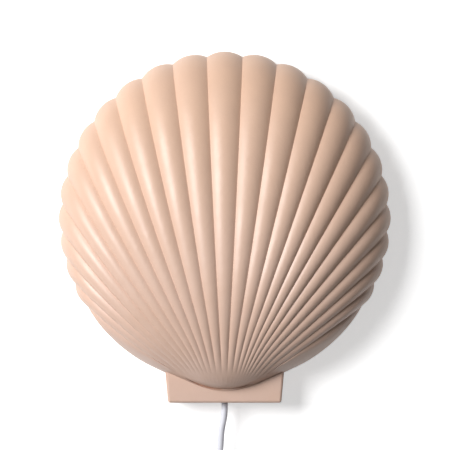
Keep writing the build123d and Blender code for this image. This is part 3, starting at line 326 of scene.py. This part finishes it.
def metal_finish(name, colour, roughness, worn, stretch=(1.0, 1.0, 1.0)):
    """Plain, plated or brushed metal. stretch draws the brush lines out along one axis."""
    material, tree, shader = new_material(name)
    shader.inputs["Metallic"].default_value = 1.0
    mapping = tree.nodes.new("ShaderNodeMapping")
    mapping.inputs["Scale"].default_value = stretch
    tree.links.new(place(tree), mapping.inputs["Vector"])
    brush = noise(tree, BRUSH_LINES, 3.0, 0.6, mapping.outputs["Vector"])
    edge = use_group(tree, EDGES, Breakup=260.0)
    body = blend_colours(tree, brush, colour, shaded(colour, 0.78))
    body = blend_colours(tree, edge.outputs["Worn"], body, worn)
    dusty = use_group(tree, DUST, Amount=METAL_DUST).outputs["Mask"]
    body = blend_colours(tree, dusty, body, METAL_DUST_COLOUR)
    tree.links.new(body, shader.inputs["Base Color"])
    tree.links.new(band(tree, brush, 0.2, 0.8, roughness - 0.06, roughness + 0.1), shader.inputs["Roughness"])
    add_bump(tree, shader, brush, 0.00002)
    return material


def opal_finish():
    """Opal globe: white, a little cloudy, glossy."""
    material, tree, shader = new_material("opal_diffuser")
    cloud = noise(tree, 45.0, 3.0, 0.5, place(tree))
    tree.links.new(blend_colours(tree, cloud, (0.86, 0.85, 0.82), (0.80, 0.79, 0.76)),
                   shader.inputs["Base Color"])
    tree.links.new(band(tree, cloud, 0.3, 0.7, 0.16, 0.24), shader.inputs["Roughness"])
    shader.inputs["Subsurface Weight"].default_value = 0.3
    shader.inputs["Subsurface Radius"].default_value = (0.006, 0.005, 0.004)
    shader.inputs["Subsurface Scale"].default_value = 1.0
    return material


def cord_finish():
    """Smooth white cord sheath, cool white, slightly soft."""
    material, tree, shader = new_material("white_cord_sheath")
    where = place(tree)
    cloud = noise(tree, 90.0, 3.0, 0.5, where)
    tree.links.new(blend_colours(tree, cloud, (0.80, 0.81, 0.88), (0.76, 0.765, 0.83)),
                   shader.inputs["Base Color"])
    grain = noise(tree, 1500.0, 3.0, 0.5, where)
    tree.links.new(band(tree, grain, 0.2, 0.8, 0.38, 0.5), shader.inputs["Roughness"])
    add_bump(tree, shader, grain, 0.00002)
    return material


FINISHES = {
    "glaze": glaze_finish(),
    "plated_steel": metal_finish("zinc_plated_sheet", (0.63, 0.64, 0.65), 0.34, (0.80, 0.80, 0.80),
                                 stretch=(0.06, 1.0, 1.0)),
    "brass": metal_finish("plain_brass", (0.72, 0.52, 0.22), 0.30, (0.90, 0.74, 0.42)),
    "soft_pad": plastic_finish("clear_soft_pad", (0.74, 0.72, 0.68), 0.45),
    "holder_plastic": plastic_finish("holder_plastic", (0.80, 0.79, 0.75), 0.40),
    "terminal_ceramic": plastic_finish("steatite", (0.78, 0.76, 0.70), 0.55, grain=500.0),
    "lead_brown": plastic_finish("brown_core", (0.13, 0.045, 0.02), 0.40),
    "lead_blue": plastic_finish("blue_core", (0.03, 0.10, 0.36), 0.40),
    "solder": metal_finish("soft_solder", (0.62, 0.62, 0.62), 0.38, (0.75, 0.75, 0.75)),
    "black_bead": plastic_finish("black_insulator", (0.012, 0.012, 0.013), 0.28),
    "bulb_metal": metal_finish("nickel_plate", (0.72, 0.70, 0.65), 0.24, (0.85, 0.83, 0.78)),
    "bulb_plastic": plastic_finish("bulb_collar_plastic", (0.82, 0.82, 0.80), 0.36),
    "circuit_board": plastic_finish("board_mask", (0.80, 0.83, 0.80), 0.40, grain=400.0),
    "opal_globe": opal_finish(),
    "tie_plastic": plastic_finish("tie_plastic", (0.80, 0.80, 0.80), 0.42),
    "white_plastic": plastic_finish("switch_and_plug_plastic", (0.80, 0.80, 0.82), 0.30),
    "cord_sheath": cord_finish(),
}


def dress_nodes():
    """Gives each CAD node the finish of its record slot."""
    slot_of = {part["node"]: part["material_slot"] for part in frame["record"]["subparts"]}
    for name, piece in nodes.items():
        for holder in piece.material_slots:
            holder.material = FINISHES[slot_of[name]]


# ---- cords ----

def coil_places(start_radius, half_turns, first_y, second_y, side):
    """Where each half turn starts and ends: in spirals, a layer's climb, out spirals."""
    turning = (half_turns + 1) // 2
    places = []
    for index in range(half_turns + 1):
        steps = index if index <= turning else half_turns - index
        radius = start_radius - COIL_STEP * steps
        y = first_y if index < turning else second_y
        places.append(Vector((COIL_X + side * radius, y, COIL_Z)))
        side = -side
    return places


def coil_points(start_radius, half_turns, first_y, second_y, side, heading):
    """Control points round the turns, a little outside them, because the spline runs inside its points."""
    places = coil_places(start_radius, half_turns, first_y, second_y, side)
    points = []
    outward = 1 / math.cos(math.pi / (2 * COIL_POINTS_PER_HALF_TURN))
    for a, b in zip(places, places[1:]):
        middle = (a + b) / 2
        reach = (b - a).length / 2
        for step in range(COIL_POINTS_PER_HALF_TURN):
            angle = math.pi * (step + 0.5) / COIL_POINTS_PER_HALF_TURN
            offset = (a - middle) * math.cos(angle) + Vector((0, 0, reach * heading)) * math.sin(angle)
            points.append(middle + offset * outward)
        heading = -heading
    return points


def make_cord(name, points):
    curve = bpy.data.curves.new(name, "CURVE")
    curve.dimensions = "3D"
    curve.bevel_depth = CORD_RADIUS
    curve.bevel_resolution = 8
    curve.use_fill_caps = True
    spline = curve.splines.new("NURBS")
    spline.points.add(len(points) - 1)
    for control, point in zip(spline.points, points):
        control.co = (*point, 1)
    spline.order_u = 3
    spline.use_endpoint_u = True
    spline.resolution_u = 8
    piece = bpy.data.objects.new(name, curve)
    bpy.context.scene.collection.objects.link(piece)
    curve.materials.append(FINISHES["cord_sheath"])
    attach(piece, "lamp")
    return piece


def make_cords():
    upper_turns = coil_points(UPPER_COIL_RADIUS, UPPER_COIL_HALF_TURNS, UPPER_COIL_Y, UPPER_COIL_BACK_Y, -1, -1)
    lamp_cord = make_cord("lamp_cord", UPPER_ROUTE + upper_turns + TO_SWITCH_ROUTE)
    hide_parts("cord_upper", "coil_upper", "cord_to_switch")
    lower_turns = coil_points(LOWER_COIL_RADIUS, LOWER_COIL_HALF_TURNS, LOWER_COIL_Y, LOWER_COIL_BACK_Y, 1, 1)
    plug_cord = make_cord("plug_cord", FROM_SWITCH_ROUTE + lower_turns + TO_PLUG_ROUTE)
    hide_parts("cord_from_switch", "coil_lower", "cord_to_plug")


# ---- wall, lights and camera ----

WALL_HALF = 2.0
WALL_Y = 0.0003                        # just behind the lamp's own wall plane
WALL_GLOW = 0.54                       # seen by the camera, in reflections and through clear things only
KEY_PLACE = (-1.15, -1.5, 0.45)        # in front of the lamp, to its left and above
KEY_SIZE = 0.9
KEY_POWER = 45
STUDIO_LIGHT = 0.08                    # even light from all round


def wall_finish():
    """Plain white wall that keeps the shadow, and is clear from behind."""
    material, tree, shader = new_material("plain_wall")
    shader.inputs["Base Color"].default_value = (0.92, 0.92, 0.92, 1)
    shader.inputs["Roughness"].default_value = 1.0
    light = tree.nodes.new("ShaderNodeLightPath")
    seen = calculate(tree, "MAXIMUM", light.outputs["Is Camera Ray"], light.outputs["Is Glossy Ray"])
    seen = calculate(tree, "MAXIMUM", seen, light.outputs["Is Transmission Ray"])
    glow = tree.nodes.new("ShaderNodeEmission")
    tree.links.new(calculate(tree, "MULTIPLY", seen, WALL_GLOW), glow.inputs["Strength"])
    both = tree.nodes.new("ShaderNodeAddShader")
    tree.links.new(shader.outputs[0], both.inputs[0])
    tree.links.new(glow.outputs[0], both.inputs[1])
    clear = tree.nodes.new("ShaderNodeBsdfTransparent")
    sides = tree.nodes.new("ShaderNodeMixShader")
    behind = tree.nodes.new("ShaderNodeNewGeometry").outputs["Backfacing"]
    tree.links.new(behind, sides.inputs["Fac"])
    tree.links.new(both.outputs[0], sides.inputs[1])
    tree.links.new(clear.outputs[0], sides.inputs[2])
    output = next(node for node in tree.nodes if node.type == "OUTPUT_MATERIAL")
    tree.links.new(sides.outputs[0], output.inputs["Surface"])
    return material


def make_wall():
    mesh = bpy.data.meshes.new("wall")
    corners = [(-WALL_HALF, WALL_Y, -WALL_HALF), (WALL_HALF, WALL_Y, -WALL_HALF),
               (WALL_HALF, WALL_Y, WALL_HALF), (-WALL_HALF, WALL_Y, WALL_HALF)]
    mesh.from_pydata(corners, [], [(0, 1, 2, 3)])
    wall = bpy.data.objects.new("wall", mesh)
    bpy.context.scene.collection.objects.link(wall)
    mesh.materials.append(wall_finish())


def make_lights():
    light = bpy.data.lights.new("key", "AREA")
    light.energy = KEY_POWER
    light.size = KEY_SIZE
    lamp = bpy.data.objects.new("key", light)
    bpy.context.scene.collection.objects.link(lamp)
    lamp.location = KEY_PLACE
    lamp.rotation_euler = (-Vector(KEY_PLACE)).to_track_quat("-Z", "Y").to_euler()
    world = bpy.data.worlds.new("studio")
    bpy.context.scene.world = world
    world.use_nodes = True
    background = world.node_tree.nodes["Background"]
    background.inputs["Color"].default_value = (1, 1, 1, 1)
    background.inputs["Strength"].default_value = STUDIO_LIGHT


def make_camera():
    camera = bpy.data.cameras.new("front")
    holder = bpy.data.objects.new("front", camera)
    bpy.context.scene.collection.objects.link(holder)
    middle = PHOTO_WIDTH / 2
    holder.location = ((middle - OUTLINE_MIDDLE[0]) * METRES_PER_PIXEL, -CAMERA_DISTANCE,
                       (OUTLINE_MIDDLE[1] - middle) * METRES_PER_PIXEL)
    holder.rotation_euler = (math.radians(90), 0, 0)
    camera.sensor_width = SENSOR
    camera.lens = SENSOR * (CAMERA_DISTANCE - SCALE_DEPTH) / (PHOTO_WIDTH * METRES_PER_PIXEL)
    bpy.context.scene.camera = holder


dress_nodes()
make_cords()
make_wall()
make_lights()
make_camera()
bpy.context.scene.view_settings.view_transform = "Standard"
